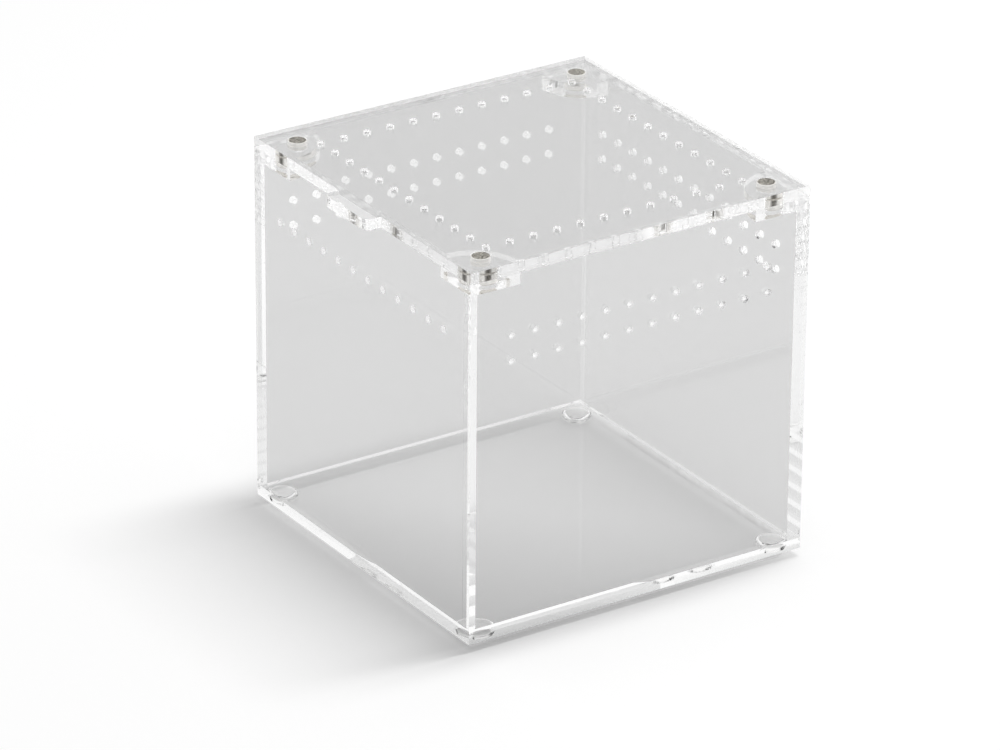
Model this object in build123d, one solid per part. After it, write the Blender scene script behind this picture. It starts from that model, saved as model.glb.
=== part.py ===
from build123d import *
import os

# A small clear acrylic enclosure for spiders, insects and other invertebrates.
# Five laser-cut sheets are cemented into an open-topped box: the side walls stand on the base
# and run its full depth, and the front and back walls stand between them. A loose lid with a
# finger tab lies on the rim, and is held there by four magnets in it over four more, which sit
# in quarter-round blocks cemented into the top corners. Four domed bumpers are the feet.
# X runs along the front, Y from front to back and Z up. The finger tab is at the front, -Y.
# The origin is on the table, under the middle of the outline, tab included.

# Outside sizes of the box, from the underside of its base to the top of its lid, in mm
BOX_WIDTH = 101.6
BOX_DEPTH = 101.6
BOX_HEIGHT = 101.6
SHEET = 3.0

# Film of cement between two bonded faces, and the gap that the loose lid keeps over the rim
CEMENT_FILM = 0.05
LID_SEAT_GAP = 0.05

# Ventilation holes, in straight rows that are centred on their sheet
VENT_DIAMETER = 2.0
VENT_PITCH = 7.0
VENTS_PER_ROW = 12
TOP_ROW_DROP = 16.5
FRONT_ROWS = 1
OTHER_ROWS = 2

# Finger tab on the lid's front edge
TAB_WIDTH = 19.5
TAB_REACH = 4.5
TAB_CORNER_RADIUS = 2.0

# Quarter-round blocks under the lid's corners
BLOCK_RADIUS = 12.5
BLOCK_THICKNESS = 4.0

# Disc magnets, as far in from the lid's edges each way, and the play round them in their holes
MAGNET_DIAMETER = 5.0
MAGNET_THICKNESS = 3.0
MAGNET_CHAMFER = 0.25
MAGNET_INSET = 8.0
MAGNET_PLAY = 0.1

# Domed bumper feet: a straight rim against the base, a dome, and a small flat to stand on
FOOT_DIAMETER = 8.0
FOOT_HEIGHT = 2.2
FOOT_RIM = 0.5
FOOT_FLAT_DIAMETER = 2.4
FOOT_INSET = 6.0

# Heights above the table
BASE_Z = FOOT_HEIGHT + CEMENT_FILM
WALL_Z = BASE_Z + SHEET + CEMENT_FILM
LID_Z = BASE_Z + BOX_HEIGHT - SHEET
RIM_Z = LID_Z - LID_SEAT_GAP
WALL_HEIGHT = RIM_Z - WALL_Z

# Middle of the box, which lies behind the middle of the outline because of the tab
BOX_Y = TAB_REACH / 2

# Name of each corner, the side it is on along X and Y, and the turn of a piece fitted to it
CORNERS = (
    ("front_left", -1, -1, 0),
    ("front_right", 1, -1, 90),
    ("back_right", 1, 1, 180),
    ("back_left", -1, 1, 270),
)


def corner_place(side_x, side_y, inset, z):
    """The place at one corner that lies inset from both outer faces of the box, at height z."""
    x = side_x * (BOX_WIDTH / 2 - inset)
    y = BOX_Y + side_y * (BOX_DEPTH / 2 - inset)
    return Pos(x, y, z)


def vent_row():
    """Places along one row of vents, centred on zero."""
    middle = (VENTS_PER_ROW - 1) / 2
    return [(number - middle) * VENT_PITCH for number in range(VENTS_PER_ROW)]


def vented_wall(length, rows):
    """A wall lying flat, its top edge towards +Y, with its rows of vents below that edge."""
    heights = [WALL_HEIGHT / 2 - TOP_ROW_DROP - row * VENT_PITCH for row in range(rows)]
    vents = [Pos(x, y) * Circle(VENT_DIAMETER / 2) for x in vent_row() for y in heights]
    return extrude(Rectangle(length, WALL_HEIGHT) - vents, amount=SHEET / 2, both=True)


def stood_up(wall, x, y, turn):
    """A flat wall stood on the base, with the middle of its thickness at x and y."""
    return Pos(x, y, WALL_Z + WALL_HEIGHT / 2) * Rot(0, 0, turn) * Rot(90, 0, 0) * wall


def base_panel():
    """The base, the full size of the box."""
    sheet = extrude(Rectangle(BOX_WIDTH, BOX_DEPTH), amount=SHEET)
    return Pos(0, BOX_Y, BASE_Z) * sheet


def lid_panel():
    """The lid: the outline of the box with the tab, a square ring of vents and magnet holes."""
    tab_length = TAB_REACH + 2 * TAB_CORNER_RADIUS
    tab_middle = -BOX_DEPTH / 2 - TAB_REACH + tab_length / 2
    tab = Pos(0, tab_middle) * RectangleRounded(TAB_WIDTH, tab_length, TAB_CORNER_RADIUS)
    row = vent_row()
    ends = (row[0], row[-1])
    ring = [(x, y) for x in row for y in row if x in ends or y in ends]
    vents = [Pos(x, y) * Circle(VENT_DIAMETER / 2) for x, y in ring]
    magnet_x = BOX_WIDTH / 2 - MAGNET_INSET
    magnet_y = BOX_DEPTH / 2 - MAGNET_INSET
    hole = Circle(MAGNET_DIAMETER / 2 + MAGNET_PLAY)
    magnet_holes = [Pos(sx * magnet_x, sy * magnet_y) * hole for _, sx, sy, _ in CORNERS]
    outline = Rectangle(BOX_WIDTH, BOX_DEPTH) + tab
    return Pos(0, BOX_Y, LID_Z) * extrude(outline - vents - magnet_holes, amount=SHEET)


def corner_block():
    """A quarter-round block at the origin, its two straight edges along +X and +Y."""
    quarter = Circle(BLOCK_RADIUS) & Rectangle(
        BLOCK_RADIUS, BLOCK_RADIUS, align=(Align.MIN, Align.MIN)
    )
    hole_inset = MAGNET_INSET - SHEET - CEMENT_FILM
    hole = Pos(hole_inset, hole_inset) * Circle(MAGNET_DIAMETER / 2 + MAGNET_PLAY)
    return extrude(quarter - hole, amount=-BLOCK_THICKNESS)


def magnet():
    """A disc magnet with its upper face at the origin and both rims chamfered."""
    radius = MAGNET_DIAMETER / 2
    flat = radius - MAGNET_CHAMFER
    profile = Polyline(
        (0, 0),
        (flat, 0),
        (radius, -MAGNET_CHAMFER),
        (radius, -MAGNET_THICKNESS + MAGNET_CHAMFER),
        (flat, -MAGNET_THICKNESS),
        (0, -MAGNET_THICKNESS),
        close=True,
    )
    return revolve(Plane.XZ * make_face(profile), Axis.Z)


def bumper_foot():
    """A domed bumper standing on its small flat at the origin."""
    radius = FOOT_DIAMETER / 2
    flat = FOOT_FLAT_DIAMETER / 2
    shoulder = FOOT_HEIGHT - FOOT_RIM
    profile = [
        Line((0, 0), (flat, 0)),
        TangentArc((flat, 0), (radius, shoulder), tangent=(1, 0)),
        Polyline((radius, shoulder), (radius, FOOT_HEIGHT), (0, FOOT_HEIGHT), (0, 0)),
    ]
    return revolve(Plane.XZ * make_face(profile), Axis.Z)


def build():
    """Every piece of the enclosure, by name, in its place."""
    between = BOX_WIDTH - 2 * (SHEET + CEMENT_FILM)
    wall_x = (BOX_WIDTH - SHEET) / 2
    wall_y = (BOX_DEPTH - SHEET) / 2
    side_wall = vented_wall(BOX_DEPTH, OTHER_ROWS)
    pieces = {
        "base_panel": base_panel(),
        "left_wall": stood_up(side_wall, -wall_x, BOX_Y, 90),
        "right_wall": stood_up(side_wall, wall_x, BOX_Y, 90),
        "front_wall": stood_up(vented_wall(between, FRONT_ROWS), 0, BOX_Y - wall_y, 0),
        "back_wall": stood_up(vented_wall(between, OTHER_ROWS), 0, BOX_Y + wall_y, 0),
        "lid": lid_panel(),
    }
    block = corner_block()
    disc = magnet()
    foot = bumper_foot()
    for corner, side_x, side_y, turn in CORNERS:
        block_place = corner_place(side_x, side_y, SHEET + CEMENT_FILM, RIM_Z)
        pieces["corner_block_" + corner] = block_place * Rot(0, 0, turn) * block
        rim_place = corner_place(side_x, side_y, MAGNET_INSET, RIM_Z)
        pieces["block_magnet_" + corner] = rim_place * disc
        top_place = corner_place(side_x, side_y, MAGNET_INSET, LID_Z + SHEET)
        pieces["lid_magnet_" + corner] = top_place * disc
        pieces["foot_" + corner] = corner_place(side_x, side_y, FOOT_INSET, 0) * foot
    return pieces


if __name__ == "__main__":
    os.makedirs("parts", exist_ok=True)
    for name, piece in build().items():
        piece.label = name
        export_step(piece, f"parts/{name}.step")
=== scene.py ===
import math
from typing import Any, NamedTuple

import bmesh
import bpy
from mathutils import Euler, Matrix, Vector


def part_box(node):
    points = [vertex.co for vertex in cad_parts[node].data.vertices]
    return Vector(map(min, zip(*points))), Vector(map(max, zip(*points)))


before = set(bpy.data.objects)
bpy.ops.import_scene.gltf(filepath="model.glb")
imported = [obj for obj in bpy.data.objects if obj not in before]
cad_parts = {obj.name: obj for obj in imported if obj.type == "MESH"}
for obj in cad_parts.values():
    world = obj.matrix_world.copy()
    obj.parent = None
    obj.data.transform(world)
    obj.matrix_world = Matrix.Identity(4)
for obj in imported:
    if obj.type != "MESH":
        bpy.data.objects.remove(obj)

# Dresses a small clear acrylic enclosure for spiders, insects and other invertebrates: six sheets,
# four corner blocks, eight magnets and four feet. Each of them is a CAD part, so this file makes
# their finishes, and the floor, the light and the camera.

bl_info = {
    "name": "Clear acrylic enclosure",
    "version": (1, 0, 0),
    "blender": (4, 5, 0),
    "location": "3D View > Sidebar > Enclosure",
    "description": "Finishes the sheets, blocks, magnets and feet of a small clear acrylic box",
    "category": "Object",
}

MM = 0.001
CORNERS = ("front_left", "front_right", "back_right", "back_left")

# Direction in which a sheet is thin, as an index of X, Y and Z
THIN_X, THIN_Y, THIN_Z = 0, 1, 2
WALLS = (
    ("left_wall", THIN_X),
    ("right_wall", THIN_X),
    ("front_wall", THIN_Y),
    ("back_wall", THIN_Y),
)

WHITE = (1.0, 1.0, 1.0, 1.0)

# How much acrylic and polyurethane bend light
ACRYLIC_IOR = 1.49
POLYURETHANE_IOR = 1.5

# The middle of the box without its lid's tab, which every joint is laid out from
BASE_LOW, BASE_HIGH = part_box("base_panel")
LID_LOW, LID_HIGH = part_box("lid")
BOX_MIDDLE = (BASE_LOW + BASE_HIGH) / 2
BOX_MIDDLE.z = (BASE_LOW.z + LID_HIGH.z) / 2

# How far a joint's two faces may lie from its middle, and a magnet's hole from the magnet
JOINT_REACH = 0.04 * MM
GLUE_REACH = 0.2 * MM

# Every vent lies nearer than this to the middle of its sheet, and every magnet's hole further out
VENT_REACH = 40 * MM
FAR_AWAY = 1.0

# How far in from its rim a foot is stuck to the base
STUCK_INSET = 0.1 * MM

# How long the laser's marks run through a sheet, as the share of their pattern's scale that is left
# that way, and how high the deepest would stand
MARK_STRETCH = 0.08
MARK_HEIGHT = 0.1 * MM

# How much the bubbles' crowding grows with each metre of height, how crowded a stretch is where they
# begin and where they are largest, and how much of their spacing the largest fill
BUBBLE_RISE = 2.5
CROWD_BEGINS, CROWD_FULL = 0.6, 0.85
LARGEST_BUBBLE = 0.5

# How far the end of the cement wanders, and where it lies, as Y less X from the middle of the box
DRY_WANDER = 30 * MM
DRY_BEGINS = -33 * MM

# Where painted shade on the cut edges ends: down the left wall's edge, beside the tab on the lid's edge, and
# within this of the middle of the lid's right edge. The base passes all light from this far past the box's
# middle
LEFT_EDGE_FADE = (45 * MM, 30 * MM)
BESIDE_TAB_FADE = (14 * MM, 10 * MM)
HALFWAY_FADE = 2 * MM
FULL_LIGHT = 10 * MM

# How far from the middle of its sheet a bore's shine is gone, and how far it is full
LID_GLOW = (0.8 * MM, 1.4 * MM)
WALL_GLOW = (1.2 * MM, 0.6 * MM)

# How edge-on a surface is seen, from nought to one, where a shine begins and where it is full: that
# of the lid's bores, of the front wall's bores, and of a magnet's barrel, whose shine is a painted highlight
LID_BORE_GLANCE = (0.44, 0.6)
FRONT_BORE_GLANCE = (0.72, 0.8)
BARREL_GLANCE = (0.04, 0.15)

# Where a barrel's dark stroke, a painted reflection, fades and ends, down from the top of a lid magnet
# and up from the bottom of a block magnet
LID_STROKE_END = (1.1 * MM, 0.8 * MM)
BLOCK_STROKE_END = (1.7 * MM, 1.2 * MM)

# Levels of noise at which a magnet's face is pitted, plain and scuffed
PITTED, PLAIN, SCUFFED = 0.36, 0.5, 0.62

# Surfaces that a line of sight may cross, as it meets two for each sheet and more inside an edge
MOST_BOUNCES = 40


def linear(hex_colour):
    """The linear red, green and blue of an sRGB colour written as six hex digits."""
    channels = [int(hex_colour[i : i + 2], 16) / 255 for i in (0, 2, 4)]
    return tuple(c / 12.92 if c <= 0.04045 else ((c + 0.055) / 1.055) ** 2.4 for c in channels)


def colour(name, description, hex_colour):
    """A colour that a user may change."""
    return bpy.props.FloatVectorProperty(
        name=name, description=description, subtype="COLOR", size=3, default=linear(hex_colour), min=0, max=1
    )


def share(name, description, default):
    """A share between nought and one that a user may change."""
    return bpy.props.FloatProperty(
        name=name, description=description, subtype="FACTOR", default=default, min=0, max=1
    )


def length(name, description, default):
    """A length that a user may change."""
    return bpy.props.FloatProperty(
        name=name, description=description, unit="LENGTH", default=default, min=0.01 * MM
    )


class AcrylicSizes(bpy.types.PropertyGroup):
    """The clear sheet; each tint is what white becomes where sight leaves the sheet at that place."""

    wall_tint: colour("Wall tint", "By the outer face of a wall", "D0D0D0")
    base_tint: colour("Base tint", "By the underside of the base", "DADADA")
    inner_tint: colour("Inner tint", "By the inner face of a wall or of the base", "FEFEFE")
    lid_tint: colour("Lid tint", "By either face of the lid", "E8E8E8")
    block_tint: colour("Block tint", "By either face of a corner block", "F2F2F2")
    mirrored_tint: colour("Mirrored tint", "By a wall's face after the wall has mirrored it", "F3F3F3")
    rear_edge_tint: colour("Rear edge tint", "By the cut edge of the nearest wall", "F0F0F0")
    # Painted shade: the upper part of the left wall's cut edge is tinted darker
    left_edge_painted_shade: colour("Left edge tint", "By the left wall's cut edge, in its upper part", "ECECEC")
    lid_edge_tint: colour("Lid edge tint", "By the cut edge of the lid or of a corner block", "FDFDFD")
    # Painted shade: the lid's cut edge is tinted darker round its front right corner
    lid_edge_painted_shade: colour("Lid dull tint", "By the lid's cut edge near its front right corner", "E8E8E8")
    # Painted highlight: the greyer white let through at the lid's side edges
    lid_side_tint: colour("Lid side tint", "By the side edges of the lid, seen through the lid", "DADADA")
    base_wet_tint: colour("Base wet tint", "By the base's cut edge where its joints are filled", "E3E3E3")
    seam_tint: colour("Seam tint", "By a far wall's cut edge, inside a corner of the box", "D6D6D6")
    seam_share: share("Seam share", "How much of a far wall's cut edge is only this tint", 0.7)
    # Painted highlight: how much of the lid's far edges shows the white behind them
    rim_painted_highlight: share("Rim share", "How much of the lid's far edges shows what is behind them", 0.6)
    front_lamp_share: share("Front lamp share", "How much lamp light a face of the front wall passes", 0.83)
    base_lamp_share: share("Base lamp share", "How much the base passes at its front right corner", 0.7)
    striation: length("Striation", "Distance between the laser's marks along a cut edge", 0.6 * MM)
    mark_depth: share("Mark depth", "How deep the marks look across the lid's and the base's edges", 0.1)
    wall_mark_depth: share("Wall mark depth", "How deep they look down the walls' edges", 0.015)
    edge_roughness: share("Edge roughness", "How much a cut edge scatters light", 0.03)
    lid_vent_haze: share("Lid vent haze", "How much the wall of a vent in the lid shines all over", 0.1)
    wall_vent_haze: share("Wall vent haze", "How much the wall of a vent in a wall shines all over", 0.15)
    front_vent_shine: share("Front vent shine", "How bright the front wall's vents are beside others", 0.3)
    vent_roughness: share("Vent roughness", "How much a shining bore scatters what it mirrors", 0.1)


class CementSizes(bpy.types.PropertyGroup):
    """The solvent cement in the joints."""

    bubble_spacing: length("Bubble spacing", "Distance between the bubbles trapped in a joint", 1.1 * MM)
    crowd_spacing: length("Crowd spacing", "Distance between the stretches where they crowd", 22 * MM)
    bubble_fill: share("Bubble fill", "How well a bubble still joins the two sheets", 0.8)


class MagnetSizes(bpy.types.PropertyGroup):
    """The nickel plate of the disc magnets."""

    plate: colour("Plate", "Most of an upper face", "78746C")
    scuff: colour("Scuff", "Where the face is rubbed", "C6C2B8")
    pit: colour("Pit", "Where the face is pitted", "3E3A32")
    # Painted highlight: on the upper bevels and on the barrel at a glance
    shine: colour("Shine", "Bevels, and the barrel at a glance", "FAF8F4")
    # Painted light: on the lower bevels and faces
    underside: colour("Underside", "Lower bevels and faces", "DAD6CE")
    # Painted reflections: the dark strokes down the barrels
    lid_painted_reflection: colour("Lid stroke", "Dark stroke down the barrel of a magnet in the lid", "56524A")
    block_painted_reflection: colour("Block stroke", "Dark stroke down the barrel of a magnet in a block", "7A766E")
    pit_spacing: length("Pit spacing", "Distance between the pits of a face", 0.35 * MM)
    roughness: share("Roughness", "How dull the plate is", 0.3)


class FootSizes(bpy.types.PropertyGroup):
    """The clear polyurethane of the bumper feet."""

    tint: colour("Tint", "What white becomes seen through a foot", "F6F6F5")
    roughness: share("Roughness", "How dull the moulded surface is", 0.06)
    lamp_share: share("Lamp share", "How much lamp light each surface of a foot passes", 0.85)


class StageSizes(bpy.types.PropertyGroup):
    """The camera, the floor and the light."""

    azimuth: bpy.props.FloatProperty(
        name="Azimuth", description="Turn of the camera round the box; 0 looks along +Y",
        default=math.radians(56.58), subtype="ANGLE",
    )
    elevation: bpy.props.FloatProperty(
        name="Elevation", description="Height of the camera above the horizon",
        default=math.radians(25.08), subtype="ANGLE",
    )
    roll: bpy.props.FloatProperty(
        name="Roll", description="Tilt of the camera about its line of sight",
        default=math.radians(0.47), subtype="ANGLE",
    )
    distance: length("Distance", "From the camera to the point that it aims at", 1.6175)
    lens: bpy.props.FloatProperty(
        name="Lens", description="Focal length in millimetres on a sensor 36 mm wide", default=227.1, min=10,
    )
    aim: bpy.props.FloatVectorProperty(
        name="Aim", description="Point in the middle of the picture", size=3,
        default=(-1.3 * MM, -5.5 * MM, 45.4 * MM), subtype="TRANSLATION", unit="LENGTH",
    )
    floor_size: length("Floor size", "Width of the floor", 6.0)
    floor_white: colour("Floor white", "Paint of the floor", "F9F9F9")
    floor_glow: bpy.props.FloatProperty(
        name="Floor glow", description="Light that the floor adds where it is looked at", default=0.12, min=0,
    )
    backdrop_white: colour("Backdrop white", "The world where it is looked at", "FFFFFF")
    world_light: bpy.props.FloatProperty(
        name="World light", description="Strength of the even light from all round", default=0.42, min=0,
    )
    lamp_power: bpy.props.FloatProperty(
        name="Lamp power", description="Power of the soft lamp in watts", default=18.0, min=0,
    )
    lamp_place: bpy.props.FloatVectorProperty(
        name="Lamp place", description="Middle of the lamp, above the back of the box", size=3,
        default=(0.05, 0.45, 1.7), subtype="TRANSLATION", unit="LENGTH",
    )
    lamp_aim: bpy.props.FloatVectorProperty(
        name="Lamp aim", description="Point that the lamp faces", size=3,
        default=(0, 0, 50 * MM), subtype="TRANSLATION", unit="LENGTH",
    )
    lamp_width: length("Lamp width", "Size of the lamp from left to right", 0.3)
    lamp_length: length("Lamp length", "Size of the lamp from front to back", 0.9)


def rgba(colour_value):
    """A property's colour as a node wants it."""
    return (*colour_value, 1.0)


def squared(colour_value):
    """The square of a property's colour, for a shader that tints by the root of its own."""
    return (*(part * part for part in colour_value), 1.0)


def socket(sockets, key=0):
    """The socket with this number or name, among those that the node's settings leave in use."""
    in_use = [item for item in sockets if item.enabled]
    return in_use[key] if isinstance(key, int) else next(item for item in in_use if item.name == key)


def add_node(tree, kind, inputs=(), **settings):
    """A new node with its settings. Each input is a number, a colour, another node's socket, or
    another node, which gives its first output."""
    node = tree.nodes.new(kind)
    for name, value in settings.items():
        setattr(node, name, value)
    pairs = inputs.items() if isinstance(inputs, dict) else enumerate(inputs)
    for key, value in pairs:
        if isinstance(value, bpy.types.Node):
            value = socket(value.outputs)
        if isinstance(value, bpy.types.NodeSocket):
            tree.links.new(value, socket(node.inputs, key))
        else:
            socket(node.inputs, key).default_value = value
    return node


def new_material(name):
    """An empty material and its node tree."""
    material = bpy.data.materials.new(name)
    material.use_nodes = True
    material.node_tree.nodes.clear()
    return material, material.node_tree


def dress(node_name, material):
    """Gives the material to a node's object."""
    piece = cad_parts[node_name]
    piece.data.materials.clear()
    piece.data.materials.append(material)


class Surface(NamedTuple):
    """What the nodes of a sheet's material read. A mask is one where it holds and nought elsewhere."""

    tree: Any
    # The direction in which the sheet is thin, and where the middle of its thickness lies that way
    thin: int
    middle: float
    # The node that gives the place, its X, Y and Z, and the sizes of the normal's
    place: Any
    spot: Any
    normal: Any
    # How many surfaces the line of sight has crossed, and the mask of being past the first sheet
    crossed: Any
    beyond: Any
    # Masks of being met from inside the sheet, by a line of sight that nothing has mirrored, and both
    inside: Any
    straight: Any
    outward: Any
    # Masks of a polished face and of a cut edge, which a bore is too
    is_face: Any
    is_edge: Any


def read_surface(tree, name, thin):
    """The places and masks that all the sheets' materials share."""
    low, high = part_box(name)
    middle = (low[thin] + high[thin]) / 2
    place = add_node(tree, "ShaderNodeTexCoord")
    spot = add_node(tree, "ShaderNodeSeparateXYZ", (place.outputs["Object"],))
    steepness = add_node(tree, "ShaderNodeVectorMath", (place.outputs["Normal"],), operation="ABSOLUTE")
    normal = add_node(tree, "ShaderNodeSeparateXYZ", (steepness,))
    is_face = add_node(tree, "ShaderNodeMath", (normal.outputs[thin], 0.5), operation="GREATER_THAN")
    is_edge = add_node(tree, "ShaderNodeMath", (1.0, is_face), operation="SUBTRACT")
    inside = add_node(tree, "ShaderNodeNewGeometry").outputs["Backfacing"]
    path = add_node(tree, "ShaderNodeLightPath")
    straight = add_node(tree, "ShaderNodeMath", (path.outputs["Glossy Depth"], 0.5), operation="LESS_THAN")
    crossed = path.outputs["Transmission Depth"]
    beyond = add_node(tree, "ShaderNodeMath", (crossed, 1.5), operation="GREATER_THAN")
    outward = add_node(tree, "ShaderNodeMath", (straight, inside), operation="MULTIPLY")
    return Surface(
        tree=tree, thin=thin, middle=middle, place=place, spot=spot, normal=normal, crossed=crossed,
        beyond=beyond, inside=inside, straight=straight, outward=outward, is_face=is_face, is_edge=is_edge,
    )


def spans(low, high):
    """The middle and the half size of the space between two corners."""
    return (Vector(low) + Vector(high)) / 2, (Vector(high) - Vector(low)) / 2


def in_space(tree, point, middle, half, is_round=False):
    """One inside the space round middle, which is a box or an upright cylinder, and nought outside it."""
    offset = add_node(tree, "ShaderNodeVectorMath", (point, middle), operation="SUBTRACT")
    size = add_node(tree, "ShaderNodeVectorMath", (offset,), operation="ABSOLUTE")
    part = add_node(tree, "ShaderNodeVectorMath", (size, half), operation="DIVIDE")
    parts = add_node(tree, "ShaderNodeSeparateXYZ", (part,))
    if is_round:
        level = add_node(tree, "ShaderNodeVectorMath", (part, (1, 1, 0)), operation="MULTIPLY")
        wide = add_node(tree, "ShaderNodeVectorMath", (level,), operation="LENGTH")
    else:
        wide = add_node(tree, "ShaderNodeMath", (parts.outputs["X"], parts.outputs["Y"]), operation="MAXIMUM")
    widest = add_node(tree, "ShaderNodeMath", (wide, parts.outputs["Z"]), operation="MAXIMUM")
    return add_node(tree, "ShaderNodeMath", (widest, 1.0), operation="LESS_THAN")


def from_middle(tree, place):
    """How far the place lies from the upright line through the middle of the box, and its height."""
    middle = (BOX_MIDDLE.x, BOX_MIDDLE.y, 0)
    return add_node(tree, "ShaderNodeVectorMath", (place.outputs["Object"], middle), operation="SUBTRACT")


def joint_spaces():
    """Where each kind of cement joint, and the glue round the magnets, lies in the back right corner."""
    centre = Vector((BOX_MIDDLE.x, BOX_MIDDLE.y, 0))
    side_low, side_high = (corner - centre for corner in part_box("right_wall"))
    end_low, end_high = (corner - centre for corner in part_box("back_wall"))
    block_low, block_high = (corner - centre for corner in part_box("corner_block_back_right"))
    disc_low, disc_high = (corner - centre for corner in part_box("lid_magnet_back_right"))
    outer = BASE_HIGH - centre
    film = JOINT_REACH
    under_walls = (outer.z + side_low.z) / 2
    beside_ends = (side_low.x + end_high.x) / 2
    behind = (block_high.y + end_low.y) / 2
    glue = Vector((GLUE_REACH, GLUE_REACH, 0))
    hole_low, hole_high = disc_low - glue, disc_high + glue
    return (
        spans((side_low.x, -outer.y, under_walls - film), (outer.x, outer.y, under_walls + film)),
        spans((-side_low.x, end_low.y, under_walls - film), (side_low.x, outer.y, under_walls + film)),
        spans((beside_ends - film, end_low.y, side_low.z), (beside_ends + film, outer.y, side_high.z)),
        spans((beside_ends - film, block_low.y, block_low.z), (beside_ends + film, end_low.y, block_high.z)),
        spans((block_low.x, behind - film, block_low.z), (beside_ends, behind + film, block_high.z)),
        spans((hole_low.x, hole_low.y, LID_LOW.z + film), (hole_high.x, hole_high.y, LID_HIGH.z - film)),
        spans((hole_low.x, hole_low.y, block_low.z + film), (hole_high.x, hole_high.y, block_high.z - film)),
    )


def stuck_foot(tree, place):
    """One where a foot is stuck to the base, and nought elsewhere."""
    low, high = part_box("foot_back_right")
    middle = (low + high) / 2 - Vector((BOX_MIDDLE.x, BOX_MIDDLE.y, 0))
    middle.z = (high.z + BASE_LOW.z) / 2
    radius = (high.x - low.x) / 2 - STUCK_INSET
    folded = add_node(tree, "ShaderNodeVectorMath", (from_middle(tree, place),), operation="ABSOLUTE")
    return in_space(tree, folded, middle, (radius, radius, JOINT_REACH), is_round=True)


def crowding(tree, place, cement):
    """Slow noise along the joints, for what varies from one stretch to the next."""
    return add_node(tree, "ShaderNodeTexNoise", {
        "Vector": place.outputs["Object"], "Scale": 1 / cement.crowd_spacing, "Detail": 1.0})


def stayed_dry(tree, place, cement):
    """One where cement fed in at the front right corner never came, and nought where it did."""
    parts = add_node(tree, "ShaderNodeSeparateXYZ", (from_middle(tree, place),))
    along = add_node(tree, "ShaderNodeMath", (parts.outputs["Y"], parts.outputs["X"]), operation="SUBTRACT")
    ragged = add_node(tree, "ShaderNodeMath", (crowding(tree, place, cement), DRY_WANDER, along),
                      operation="MULTIPLY_ADD")
    return add_node(tree, "ShaderNodeMath", (ragged, DRY_BEGINS), operation="GREATER_THAN")


def cemented(tree, place, cement):
    """One where solvent cement has run in and joined two pieces into one, and nought elsewhere."""
    offset = from_middle(tree, place)
    folded = add_node(tree, "ShaderNodeVectorMath", (offset,), operation="ABSOLUTE")
    joint = 0.0
    for middle, half in joint_spaces():
        space = in_space(tree, folded, middle, half)
        joint = add_node(tree, "ShaderNodeMath", (joint, space), operation="MAXIMUM")
    # Bubbles are trapped in the film. They crowd in some stretches and are absent in others, and
    # they rise before it sets, so that there are more of them high up
    height = add_node(tree, "ShaderNodeSeparateXYZ", (offset,)).outputs["Z"]
    crowd = crowding(tree, place, cement)
    rise = add_node(tree, "ShaderNodeMath", (height, BUBBLE_RISE, crowd), operation="MULTIPLY_ADD")
    size = add_node(tree, "ShaderNodeMapRange", {
        "Value": rise, "From Min": CROWD_BEGINS, "From Max": CROWD_FULL, "To Max": LARGEST_BUBBLE})
    bubble = add_node(tree, "ShaderNodeTexVoronoi", {
        "Vector": place.outputs["Object"], "Scale": 1 / cement.bubble_spacing})
    solid = add_node(tree, "ShaderNodeMath", (bubble.outputs["Distance"], size), operation="GREATER_THAN")
    filled = add_node(tree, "ShaderNodeMath", (solid, cement.bubble_fill), operation="MAXIMUM")
    # Only the base's joints have stayed dry anywhere
    low = add_node(tree, "ShaderNodeMath", (height, BASE_HIGH.z + JOINT_REACH), operation="LESS_THAN")
    dry = add_node(tree, "ShaderNodeMath", (stayed_dry(tree, place, cement), low), operation="MULTIPLY")
    run_in = add_node(tree, "ShaderNodeMath", (filled, dry), operation="SUBTRACT", use_clamp=True)
    joint = add_node(tree, "ShaderNodeMath", (joint, run_in), operation="MULTIPLY")
    return add_node(tree, "ShaderNodeMath", (joint, stuck_foot(tree, place)), operation="MAXIMUM")


def let_lamps_through(tree, glass, passed):
    """The glass for what is looked at. Light from the lamp and the world falls straight through it
    instead, less what the surface mirrors, and keeps the share passed of the rest."""
    ray = add_node(tree, "ShaderNodeLightPath").outputs
    is_light = add_node(tree, "ShaderNodeMath", (ray["Is Shadow Ray"], ray["Is Diffuse Ray"]),
                        operation="MAXIMUM")
    # From inside, the angle that counts is still the one in air, so the index is turned over there
    inside = add_node(tree, "ShaderNodeNewGeometry").outputs["Backfacing"]
    index = add_node(tree, "ShaderNodeMath", (inside, 1 / ACRYLIC_IOR - ACRYLIC_IOR, ACRYLIC_IOR),
                     operation="MULTIPLY_ADD")
    mirrored = add_node(tree, "ShaderNodeFresnel", {"IOR": index})
    entering = add_node(tree, "ShaderNodeMath", (1.0, mirrored), operation="SUBTRACT")
    kept = add_node(tree, "ShaderNodeMath", (entering, passed), operation="MULTIPLY")
    fall = add_node(tree, "ShaderNodeBsdfTransparent", {"Color": kept})
    return add_node(tree, "ShaderNodeMixShader", (is_light, glass, fall))


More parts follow.
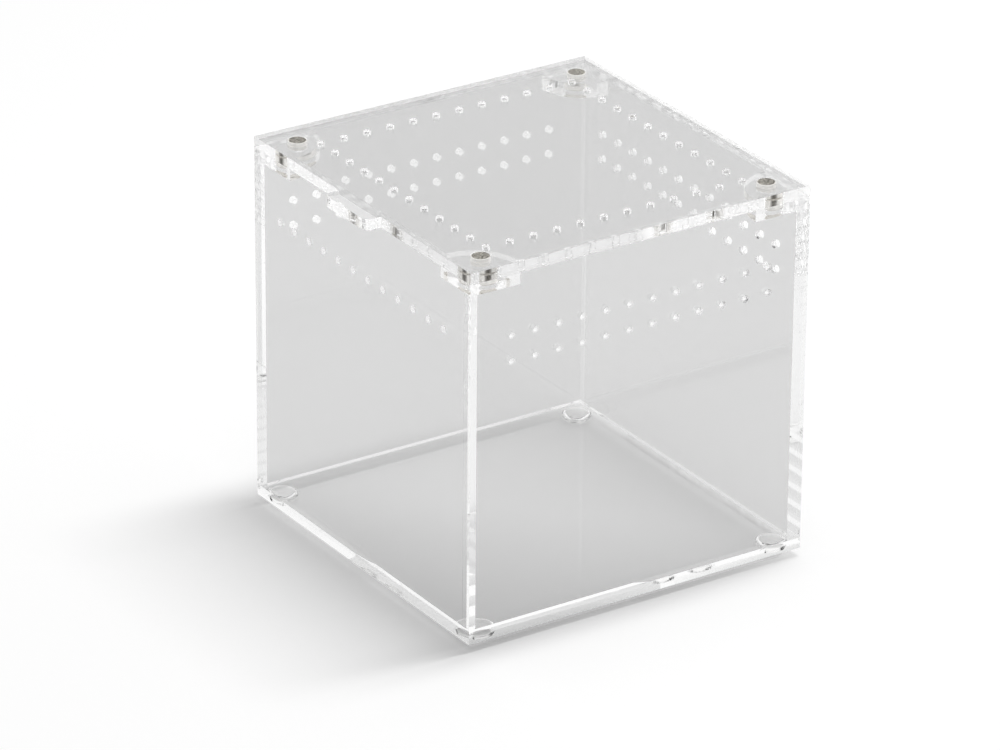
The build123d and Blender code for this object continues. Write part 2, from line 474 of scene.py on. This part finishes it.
def box_tint(surface, inner_tint, outer_tint):
    """What a sheet of the box takes: little by its inner face, and the rest by its outer face or by
    a cut edge beyond the first sheet."""
    tree = surface.tree
    core = BOX_MIDDLE[surface.thin]
    offset = add_node(tree, "ShaderNodeMath", (surface.spot.outputs[surface.thin], core),
                      operation="SUBTRACT")
    distance = add_node(tree, "ShaderNodeMath", (offset,), operation="ABSOLUTE")
    sheet_distance = abs(surface.middle - core)
    is_outer = add_node(tree, "ShaderNodeMath", (distance, sheet_distance), operation="GREATER_THAN")
    outer_face = add_node(tree, "ShaderNodeMath", (surface.is_face, is_outer), operation="MULTIPLY")
    far_edge = add_node(tree, "ShaderNodeMath", (surface.is_edge, surface.beyond), operation="MULTIPLY")
    heavy = add_node(tree, "ShaderNodeMath", (outer_face, far_edge), operation="ADD")
    return add_node(tree, "ShaderNodeMix", (heavy, squared(inner_tint), squared(outer_tint)),
                    data_type="RGBA")


def takes_its_share(surface):
    """One where sight may lose a sheet's share: at a face, and also at an edge beyond the first sheet."""
    return add_node(surface.tree, "ShaderNodeMath", (surface.is_face, surface.beyond), operation="MAXIMUM")


def sheet_glass(surface, takes, leaving_tint, entering_tint, mirrored_tint, mark_depth, sizes):
    """Acrylic tinted once, where straight sight leaves it, or where sight enters by a cut edge."""
    tree = surface.tree
    taken = add_node(tree, "ShaderNodeMath", (surface.outward, takes), operation="MULTIPLY")
    entering = add_node(tree, "ShaderNodeMath", (surface.is_edge, surface.inside), operation="SUBTRACT",
                        use_clamp=True)
    tint = add_node(tree, "ShaderNodeMix", (entering, mirrored_tint, entering_tint), data_type="RGBA")
    tint = add_node(tree, "ShaderNodeMix", (taken, tint, leaving_tint), data_type="RGBA")
    # The laser's marks run straight through the sheet, so their pattern is drawn out that way
    stretch = [1 / sizes.striation] * 3
    stretch[surface.thin] *= MARK_STRETCH
    stretched = add_node(tree, "ShaderNodeVectorMath", (surface.place.outputs["Object"], stretch),
                         operation="MULTIPLY")
    marks = add_node(tree, "ShaderNodeTexNoise", {"Vector": stretched, "Scale": 1.0, "Detail": 2.0})
    height = add_node(tree, "ShaderNodeMath", (marks, surface.is_edge), operation="MULTIPLY")
    bump = add_node(tree, "ShaderNodeBump", {
        "Height": height, "Strength": mark_depth, "Distance": MARK_HEIGHT})
    rough = add_node(tree, "ShaderNodeMath", (surface.is_edge, sizes.edge_roughness), operation="MULTIPLY")
    return add_node(tree, "ShaderNodeBsdfPrincipled", {
        "Base Color": tint, "Roughness": rough, "IOR": ACRYLIC_IOR, "Transmission Weight": 1.0,
        "Normal": bump})


def find_vents(surface):
    """One on the bore of a vent, and nought elsewhere."""
    reach = Vector((VENT_REACH, VENT_REACH, VENT_REACH))
    reach[surface.thin] = FAR_AWAY
    near = in_space(surface.tree, surface.place.outputs["Object"], BOX_MIDDLE, reach)
    return add_node(surface.tree, "ShaderNodeMath", (surface.is_edge, near), operation="MULTIPLY")


def open_vents(surface, seen, is_vent, clear_tint, glow_span, haze, sizes, shine=1.0, least=0.0):
    """Lets each vent's bore shine like a small mirror along part of its length, and elsewhere shows
    what is behind it in the sheet's own grey."""
    tree = surface.tree
    from_air = add_node(tree, "ShaderNodeMath", (is_vent, surface.inside), operation="SUBTRACT",
                        use_clamp=True)
    offset = add_node(tree, "ShaderNodeMath", (surface.spot.outputs[surface.thin], surface.middle),
                      operation="SUBTRACT")
    depth = add_node(tree, "ShaderNodeMath", (offset,), operation="ABSOLUTE")
    gone_at, full_at = glow_span
    glow = add_node(tree, "ShaderNodeMapRange", {"Value": depth, "From Min": gone_at, "From Max": full_at})
    glow = add_node(tree, "ShaderNodeMath", (glow, from_air), operation="MULTIPLY")
    # An odd number of surfaces has been passed by what came through the sheet and not by the opening
    odd = add_node(tree, "ShaderNodeMath", (surface.crossed, 2.0), operation="MODULO")
    glow = add_node(tree, "ShaderNodeMath", (glow, odd), operation="SUBTRACT", use_clamp=True)
    bright = add_node(tree, "ShaderNodeMath", (haze, glow), operation="MAXIMUM")
    shining = add_node(tree, "ShaderNodeMath", (bright, shine), operation="MULTIPLY")
    shining = add_node(tree, "ShaderNodeMath", (shining, least), operation="MAXIMUM")
    clear = add_node(tree, "ShaderNodeMath", (1.0, shining), operation="SUBTRACT")
    unseen = add_node(tree, "ShaderNodeMath", (is_vent, clear), operation="MULTIPLY")
    nearby = add_node(tree, "ShaderNodeMath", (surface.outward, surface.beyond), operation="SUBTRACT",
                      use_clamp=True)
    tint = add_node(tree, "ShaderNodeMix", (nearby, WHITE, rgba(clear_tint)), data_type="RGBA")
    open_vent = add_node(tree, "ShaderNodeBsdfTransparent", {"Color": tint})
    mirror = add_node(tree, "ShaderNodeBsdfAnisotropic", {"Color": WHITE, "Roughness": sizes.vent_roughness})
    vent = add_node(tree, "ShaderNodeMixShader", (from_air, seen, mirror))
    return add_node(tree, "ShaderNodeMixShader", (unseen, vent, open_vent))


def join_up(tree, place, seen, cement):
    """Ends a sheet's material: a filled joint vanishes, as if the two pieces were one."""
    gone = add_node(tree, "ShaderNodeBsdfTransparent", {"Color": WHITE})
    mixed = add_node(tree, "ShaderNodeMixShader", (cemented(tree, place, cement), seen, gone))
    add_node(tree, "ShaderNodeOutputMaterial", {"Surface": mixed})


def base_acrylic(sizes, cement):
    """Clear cast acrylic: bright polished faces, and laser-cut edges that are brightest where the
    joint above them has stayed dry."""
    material, tree = new_material("cast acrylic, base panel")
    surface = read_surface(tree, "base_panel", THIN_Z)
    dry = stayed_dry(tree, surface.place, cement)
    edge_tint = add_node(tree, "ShaderNodeMix", (dry, squared(sizes.base_wet_tint), WHITE), data_type="RGBA")
    leaving_tint = box_tint(surface, sizes.inner_tint, sizes.base_tint)
    takes = takes_its_share(surface)
    glass = sheet_glass(surface, takes, leaving_tint, edge_tint, WHITE, sizes.mark_depth, sizes)
    # The box's shadow is deeper under its front right corner
    along = add_node(tree, "ShaderNodeMath", (surface.spot.outputs["Y"], surface.spot.outputs["X"]),
                     operation="SUBTRACT")
    passed = add_node(tree, "ShaderNodeMapRange", {
        "Value": along, "From Min": BASE_LOW.y - BASE_HIGH.x, "From Max": BOX_MIDDLE.y + FULL_LIGHT,
        "To Min": sizes.base_lamp_share, "To Max": 1.0})
    join_up(tree, surface.place, let_lamps_through(tree, glass, passed), cement)
    return material


def wall_acrylic(name, thin, sizes, cement):
    """Clear cast acrylic: bright polished faces, smooth laser-cut edges, and vents whose bores shine
    in the middle of the sheet."""
    material, tree = new_material("cast acrylic, " + name.replace("_", " "))
    surface = read_surface(tree, name, thin)
    is_vent = find_vents(surface)
    used = add_node(tree, "ShaderNodeMath", (surface.beyond, is_vent), operation="MAXIMUM")
    near_edge = add_node(tree, "ShaderNodeMath", (surface.is_edge, used), operation="SUBTRACT",
                         use_clamp=True)
    takes = add_node(tree, "ShaderNodeMath", (takes_its_share(surface), near_edge), operation="MAXIMUM")
    through_tint = box_tint(surface, sizes.inner_tint, sizes.wall_tint)
    leaving_tint = add_node(tree, "ShaderNodeMix", (near_edge, through_tint, squared(sizes.rear_edge_tint)),
                            data_type="RGBA")
    # The left wall's cut edge has painted shade: it is tinted a little grey down to where it mirrors the
    # floor
    upper_painted_shade = squared(sizes.left_edge_painted_shade) if name == "left_wall" else WHITE
    lower = add_node(tree, "ShaderNodeMapRange", {
        "Value": surface.spot.outputs["Z"], "From Min": LEFT_EDGE_FADE[0], "From Max": LEFT_EDGE_FADE[1]})
    edge_tint = add_node(tree, "ShaderNodeMix", (lower, upper_painted_shade, WHITE), data_type="RGBA")
    mirrored = add_node(tree, "ShaderNodeMath", (surface.inside, surface.straight), operation="SUBTRACT",
                        use_clamp=True)
    mirrored = add_node(tree, "ShaderNodeMath", (mirrored, surface.is_face), operation="MULTIPLY")
    mirrored_tint = add_node(tree, "ShaderNodeMix", (mirrored, WHITE, squared(sizes.mirrored_tint)),
                             data_type="RGBA")
    glass = sheet_glass(surface, takes, leaving_tint, edge_tint, mirrored_tint, sizes.wall_mark_depth, sizes)
    if name == "front_wall":
        # This wall's vents are faint, but seen straight on they would vanish, so there they shine in full
        glance = add_node(tree, "ShaderNodeLayerWeight", {"Blend": 0.5})
        straight_on = add_node(tree, "ShaderNodeMapRange", {
            "Value": glance.outputs["Facing"], "From Min": FRONT_BORE_GLANCE[0],
            "From Max": FRONT_BORE_GLANCE[1]})
        seen = let_lamps_through(tree, glass, sizes.front_lamp_share)
        seen = open_vents(surface, seen, is_vent, sizes.inner_tint, WALL_GLOW, sizes.wall_vent_haze, sizes,
                          shine=sizes.front_vent_shine, least=straight_on)
    else:
        seen = let_lamps_through(tree, glass, 1.0)
        seen = open_vents(surface, seen, is_vent, sizes.inner_tint, WALL_GLOW, sizes.wall_vent_haze, sizes)
    # Inside a corner of the box a far wall's cut edge is a soft grey
    seam = add_node(tree, "ShaderNodeMath", (surface.is_edge, is_vent), operation="SUBTRACT")
    for part in (surface.outward, sizes.seam_share, surface.beyond):
        seam = add_node(tree, "ShaderNodeMath", (seam, part), operation="MULTIPLY")
    grey = add_node(tree, "ShaderNodeBsdfTransparent", {"Color": rgba(sizes.seam_tint)})
    seen = add_node(tree, "ShaderNodeMixShader", (seam, seen, grey))
    join_up(tree, surface.place, seen, cement)
    return material


def lid_acrylic(sizes, cement):
    """Clear cast acrylic: bright polished faces, laser-cut edges with faint marks down them, and
    vents whose bores shine near both faces."""
    material, tree = new_material("cast acrylic, lid")
    surface = read_surface(tree, "lid", THIN_Z)
    # The tab has light on three sides, so it is painted lighter: it takes nothing
    across, along = surface.spot.outputs["X"], surface.spot.outputs["Y"]
    on_box = add_node(tree, "ShaderNodeMath", (along, BASE_LOW.y), operation="GREATER_THAN")
    takes = add_node(tree, "ShaderNodeMath", (takes_its_share(surface), on_box), operation="MULTIPLY")
    # The cut edge has painted shade round the front right corner, up to the tab and halfway along the side
    past_tab = add_node(tree, "ShaderNodeMapRange", {
        "Value": across, "From Min": BESIDE_TAB_FADE[0], "From Max": BESIDE_TAB_FADE[1]})
    past_middle = add_node(tree, "ShaderNodeMapRange", {
        "Value": along, "From Min": BOX_MIDDLE.y - HALFWAY_FADE, "From Max": BOX_MIDDLE.y + HALFWAY_FADE})
    bright = add_node(tree, "ShaderNodeMath", (past_tab, past_middle), operation="MAXIMUM")
    edge_tint = add_node(tree, "ShaderNodeMix", (
        bright, squared(sizes.lid_edge_painted_shade), squared(sizes.lid_edge_tint)), data_type="RGBA")
    glass = sheet_glass(surface, takes, squared(sizes.lid_tint), edge_tint, WHITE, sizes.mark_depth, sizes)
    # A bore shines all along where it is seen nearly edge-on
    is_vent = find_vents(surface)
    glance = add_node(tree, "ShaderNodeLayerWeight", {"Blend": 0.5})
    haze = add_node(tree, "ShaderNodeMapRange", {
        "Value": glance.outputs["Facing"], "From Min": LID_BORE_GLANCE[0], "From Max": LID_BORE_GLANCE[1],
        "To Min": sizes.lid_vent_haze})
    seen = let_lamps_through(tree, glass, 1.0)
    seen = open_vents(surface, seen, is_vent, sizes.lid_tint, LID_GLOW, haze, sizes)
    # Along the far edges a painted highlight lets some of the white behind show through, less of it at the
    # sides
    rim = add_node(tree, "ShaderNodeMath", (surface.is_edge, is_vent), operation="SUBTRACT")
    for part in (surface.outward, sizes.rim_painted_highlight):
        rim = add_node(tree, "ShaderNodeMath", (rim, part), operation="MULTIPLY")
    is_back = add_node(tree, "ShaderNodeMath", (surface.normal.outputs["Y"], 0.5), operation="GREATER_THAN")
    behind = add_node(tree, "ShaderNodeMix", (is_back, rgba(sizes.lid_side_tint), WHITE), data_type="RGBA")
    white = add_node(tree, "ShaderNodeBsdfTransparent", {"Color": behind})
    seen = add_node(tree, "ShaderNodeMixShader", (rim, seen, white))
    join_up(tree, surface.place, seen, cement)
    return material


def block_acrylic(sizes, cement):
    """Clear cast acrylic: bright polished faces and laser-cut edges, straight and round."""
    material, tree = new_material("cast acrylic, corner blocks")
    surface = read_surface(tree, "corner_block_front_right", THIN_Z)
    glass = sheet_glass(surface, takes_its_share(surface), squared(sizes.block_tint),
                        squared(sizes.lid_edge_tint), WHITE, sizes.mark_depth, sizes)
    join_up(tree, surface.place, let_lamps_through(tree, glass, 1.0), cement)
    return material


def bumper_plastic(sizes):
    """Clear moulded polyurethane: a little softer and duller than the sheet, and stuck to the base."""
    material, tree = new_material("clear polyurethane bumper")
    glass = add_node(tree, "ShaderNodeBsdfPrincipled", {
        "Base Color": rgba(sizes.tint), "Roughness": sizes.roughness, "IOR": POLYURETHANE_IOR,
        "Transmission Weight": 1.0})
    seen = let_lamps_through(tree, glass, sizes.lamp_share)
    stuck = stuck_foot(tree, add_node(tree, "ShaderNodeTexCoord"))
    gone = add_node(tree, "ShaderNodeBsdfTransparent", {"Color": WHITE})
    mixed = add_node(tree, "ShaderNodeMixShader", (stuck, seen, gone))
    add_node(tree, "ShaderNodeOutputMaterial", {"Surface": mixed})
    return material


def nickel(name, sizes, stroke, fades_at, ends_at):
    """Nickel plate on a sintered magnet: a dull warm grey, pitted and scuffed on its faces, with a painted
    highlight on its upper bevels and painted light on its lower bevels and faces. Its barrel has a painted
    highlight where it is seen at a glance, and a dark stroke, a painted reflection of the dark side of a
    room, which fades out along the barrel between the two heights."""
    material, tree = new_material(name)
    place = add_node(tree, "ShaderNodeTexCoord")
    grain = add_node(tree, "ShaderNodeTexNoise", {
        "Vector": place.outputs["Object"], "Scale": 1 / sizes.pit_spacing, "Detail": 1.0})
    face = add_node(tree, "ShaderNodeValToRGB", (grain,))
    pitted, scuffed = face.color_ramp.elements
    pitted.position = PITTED
    pitted.color = rgba(sizes.pit)
    scuffed.position = SCUFFED
    scuffed.color = rgba(sizes.scuff)
    face.color_ramp.elements.new(PLAIN).color = rgba(sizes.plate)
    # A painted highlight on the barrel where it is seen at a glance, and the painted dark reflection between
    # the two heights
    glance = add_node(tree, "ShaderNodeLayerWeight", {"Blend": 0.5})
    beside = add_node(tree, "ShaderNodeMapRange", {
        "Value": glance.outputs["Facing"], "From Min": BARREL_GLANCE[0], "From Max": BARREL_GLANCE[1]})
    spot = add_node(tree, "ShaderNodeSeparateXYZ", (place.outputs["Object"],))
    end = add_node(tree, "ShaderNodeMapRange", {
        "Value": spot.outputs["Z"], "From Min": fades_at, "From Max": ends_at})
    bright = add_node(tree, "ShaderNodeMath", (beside, end), operation="MAXIMUM")
    look = add_node(tree, "ShaderNodeMix", (bright, rgba(stroke), rgba(sizes.shine)), data_type="RGBA")
    # Lower bevels, upper bevels and the upper face are told from the barrel by how far they face up.
    # The lower ones get painted light, the upper bevels a painted highlight, and the upper face its plate
    normal = add_node(tree, "ShaderNodeSeparateXYZ", (place.outputs["Normal"],)).outputs["Z"]
    for limit, test, zone_look in (
        (-0.3, "LESS_THAN", rgba(sizes.underside)),
        (0.3, "GREATER_THAN", rgba(sizes.shine)),
        (0.9, "GREATER_THAN", face),
    ):
        zone = add_node(tree, "ShaderNodeMath", (normal, limit), operation=test)
        look = add_node(tree, "ShaderNodeMix", (zone, look, zone_look), data_type="RGBA")
    metal = add_node(tree, "ShaderNodeBsdfPrincipled", {
        "Base Color": look, "Metallic": 1.0, "Roughness": sizes.roughness})
    add_node(tree, "ShaderNodeOutputMaterial", {"Surface": metal})
    return material


class ENCLOSURE_OT_base(bpy.types.Operator):
    """Finish the base as clear acrylic"""

    bl_idname = "enclosure.base"
    bl_label = "Finish base"

    def execute(self, context):
        scene = context.scene
        dress("base_panel", base_acrylic(scene.enclosure_acrylic, scene.enclosure_cement))
        return {"FINISHED"}


class ENCLOSURE_OT_walls(bpy.types.Operator):
    """Finish the four walls as clear acrylic"""

    bl_idname = "enclosure.walls"
    bl_label = "Finish walls"

    def execute(self, context):
        scene = context.scene
        for name, thin in WALLS:
            dress(name, wall_acrylic(name, thin, scene.enclosure_acrylic, scene.enclosure_cement))
        return {"FINISHED"}


class ENCLOSURE_OT_lid(bpy.types.Operator):
    """Finish the lid as clear acrylic"""

    bl_idname = "enclosure.lid"
    bl_label = "Finish lid"

    def execute(self, context):
        scene = context.scene
        dress("lid", lid_acrylic(scene.enclosure_acrylic, scene.enclosure_cement))
        return {"FINISHED"}


class ENCLOSURE_OT_blocks(bpy.types.Operator):
    """Finish the four corner blocks as clear acrylic"""

    bl_idname = "enclosure.blocks"
    bl_label = "Finish corner blocks"

    def execute(self, context):
        scene = context.scene
        block = block_acrylic(scene.enclosure_acrylic, scene.enclosure_cement)
        for corner in CORNERS:
            dress("corner_block_" + corner, block)
        return {"FINISHED"}


class ENCLOSURE_OT_magnets(bpy.types.Operator):
    """Finish the eight disc magnets in nickel plate"""

    bl_idname = "enclosure.magnets"
    bl_label = "Finish magnets"

    def execute(self, context):
        sizes = context.scene.enclosure_magnets
        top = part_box("lid_magnet_front_right")[1].z
        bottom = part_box("block_magnet_front_right")[0].z
        lid_ends = [top - drop for drop in LID_STROKE_END]
        block_ends = [bottom + rise for rise in BLOCK_STROKE_END]
        upper = nickel("nickel plate, lid magnets", sizes, sizes.lid_painted_reflection, *lid_ends)
        lower = nickel("nickel plate, block magnets", sizes, sizes.block_painted_reflection, *block_ends)
        for corner in CORNERS:
            dress("lid_magnet_" + corner, upper)
            dress("block_magnet_" + corner, lower)
        return {"FINISHED"}


class ENCLOSURE_OT_feet(bpy.types.Operator):
    """Finish the four bumper feet in clear polyurethane"""

    bl_idname = "enclosure.feet"
    bl_label = "Finish feet"

    def execute(self, context):
        plastic = bumper_plastic(context.scene.enclosure_feet)
        for corner in CORNERS:
            dress("foot_" + corner, plastic)
        return {"FINISHED"}


def link(name, data):
    """A new object with this data in the scene."""
    thing = bpy.data.objects.new(name, data)
    bpy.context.scene.collection.objects.link(thing)
    return thing


def add_camera(sizes):
    """A long lens at the photograph's viewing angle."""
    data = bpy.data.cameras.new("camera")
    data.lens = sizes.lens
    data.clip_end = 100
    camera = link("camera", data)
    turn = Euler((math.pi / 2 - sizes.elevation, 0, sizes.azimuth)).to_matrix()
    turn = turn @ Matrix.Rotation(sizes.roll, 3, "Z")
    place = Vector(sizes.aim) + turn @ Vector((0, 0, sizes.distance))
    camera.matrix_world = Matrix.Translation(place) @ turn.to_4x4()
    bpy.context.scene.camera = camera


def looked_at(tree):
    """One for what is looked at, straight or through clear sheet or in a mirror, and nought for light."""
    ray = add_node(tree, "ShaderNodeLightPath").outputs
    looked = add_node(tree, "ShaderNodeMath", (ray["Is Camera Ray"], ray["Is Glossy Ray"]),
                      operation="MAXIMUM")
    return add_node(tree, "ShaderNodeMath", (looked, ray["Is Transmission Ray"]), operation="MAXIMUM")


def add_floor(sizes):
    """A plain pale floor that keeps the box's shadow, and is a little lighter where it is looked at."""
    mesh = bpy.data.meshes.new("floor")
    shape = bmesh.new()
    bmesh.ops.create_grid(shape, x_segments=1, y_segments=1, size=sizes.floor_size / 2)
    shape.to_mesh(mesh)
    shape.free()
    floor = link("floor", mesh)
    material, tree = new_material("floor")
    glow = add_node(tree, "ShaderNodeMath", (looked_at(tree), sizes.floor_glow), operation="MULTIPLY")
    extra = add_node(tree, "ShaderNodeEmission", {"Color": WHITE, "Strength": glow})
    paint = add_node(tree, "ShaderNodeBsdfDiffuse", {"Color": rgba(sizes.floor_white)})
    both = add_node(tree, "ShaderNodeAddShader", (paint, extra))
    add_node(tree, "ShaderNodeOutputMaterial", {"Surface": both})
    mesh.materials.append(material)


def add_world(sizes):
    """White wherever it is looked at, and soft even light on the box."""
    world = bpy.data.worlds.new("studio")
    bpy.context.scene.world = world
    world.use_nodes = True
    tree = world.node_tree
    tree.nodes.clear()
    light = add_node(tree, "ShaderNodeBackground", {"Color": WHITE, "Strength": sizes.world_light})
    white = add_node(tree, "ShaderNodeBackground", {"Color": rgba(sizes.backdrop_white), "Strength": 1.0})
    both = add_node(tree, "ShaderNodeMixShader", (looked_at(tree), light, white))
    add_node(tree, "ShaderNodeOutputWorld", {"Surface": both})


def add_lamp(sizes):
    """A large soft lamp over the back of the box, which isn't itself seen in or through the sheets."""
    data = bpy.data.lights.new("key lamp", "AREA")
    data.shape = "RECTANGLE"
    data.size = sizes.lamp_width
    data.size_y = sizes.lamp_length
    data.energy = sizes.lamp_power
    lamp = link("key lamp", data)
    place = Vector(sizes.lamp_place)
    lamp.rotation_mode = "QUATERNION"
    lamp.location = place
    lamp.rotation_quaternion = (Vector(sizes.lamp_aim) - place).to_track_quat("-Z", "Y")
    lamp.visible_glossy = False
    lamp.visible_transmission = False


class ENCLOSURE_OT_stage(bpy.types.Operator):
    """Set the camera, the floor, the world and the lamp"""

    bl_idname = "enclosure.stage"
    bl_label = "Set stage"

    def execute(self, context):
        sizes = context.scene.enclosure_stage
        context.scene.view_settings.view_transform = "Standard"
        add_camera(sizes)
        add_floor(sizes)
        add_world(sizes)
        add_lamp(sizes)
        cycles = context.scene.cycles
        cycles.max_bounces = MOST_BOUNCES
        cycles.transmission_bounces = MOST_BOUNCES
        cycles.glossy_bounces = MOST_BOUNCES
        cycles.transparent_max_bounces = MOST_BOUNCES
        return {"FINISHED"}


class ENCLOSURE_PT_panel(bpy.types.Panel):
    """Lists the steps in the 3D view's sidebar"""

    bl_idname = "ENCLOSURE_PT_panel"
    bl_label = "Clear acrylic enclosure"
    bl_space_type = "VIEW_3D"
    bl_region_type = "UI"
    bl_category = "Enclosure"

    def draw(self, context):
        for step in STEPS:
            self.layout.operator(step.bl_idname)


STEPS = (
    ENCLOSURE_OT_base,
    ENCLOSURE_OT_walls,
    ENCLOSURE_OT_lid,
    ENCLOSURE_OT_blocks,
    ENCLOSURE_OT_magnets,
    ENCLOSURE_OT_feet,
    ENCLOSURE_OT_stage,
)
GROUPS = {
    "enclosure_acrylic": AcrylicSizes,
    "enclosure_cement": CementSizes,
    "enclosure_magnets": MagnetSizes,
    "enclosure_feet": FootSizes,
    "enclosure_stage": StageSizes,
}
CLASSES = (*GROUPS.values(), *STEPS, ENCLOSURE_PT_panel)


def register():
    for item in CLASSES:
        bpy.utils.register_class(item)
    for name, group in GROUPS.items():
        setattr(bpy.types.Scene, name, bpy.props.PointerProperty(type=group))


def unregister():
    for name in GROUPS:
        delattr(bpy.types.Scene, name)
    for item in reversed(CLASSES):
        bpy.utils.unregister_class(item)


def main():
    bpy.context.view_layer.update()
    register()
    bpy.ops.enclosure.base()
    bpy.ops.enclosure.walls()
    bpy.ops.enclosure.lid()
    bpy.ops.enclosure.blocks()
    bpy.ops.enclosure.magnets()
    bpy.ops.enclosure.feet()
    bpy.ops.enclosure.stage()


if __name__ == "__main__":
    main()
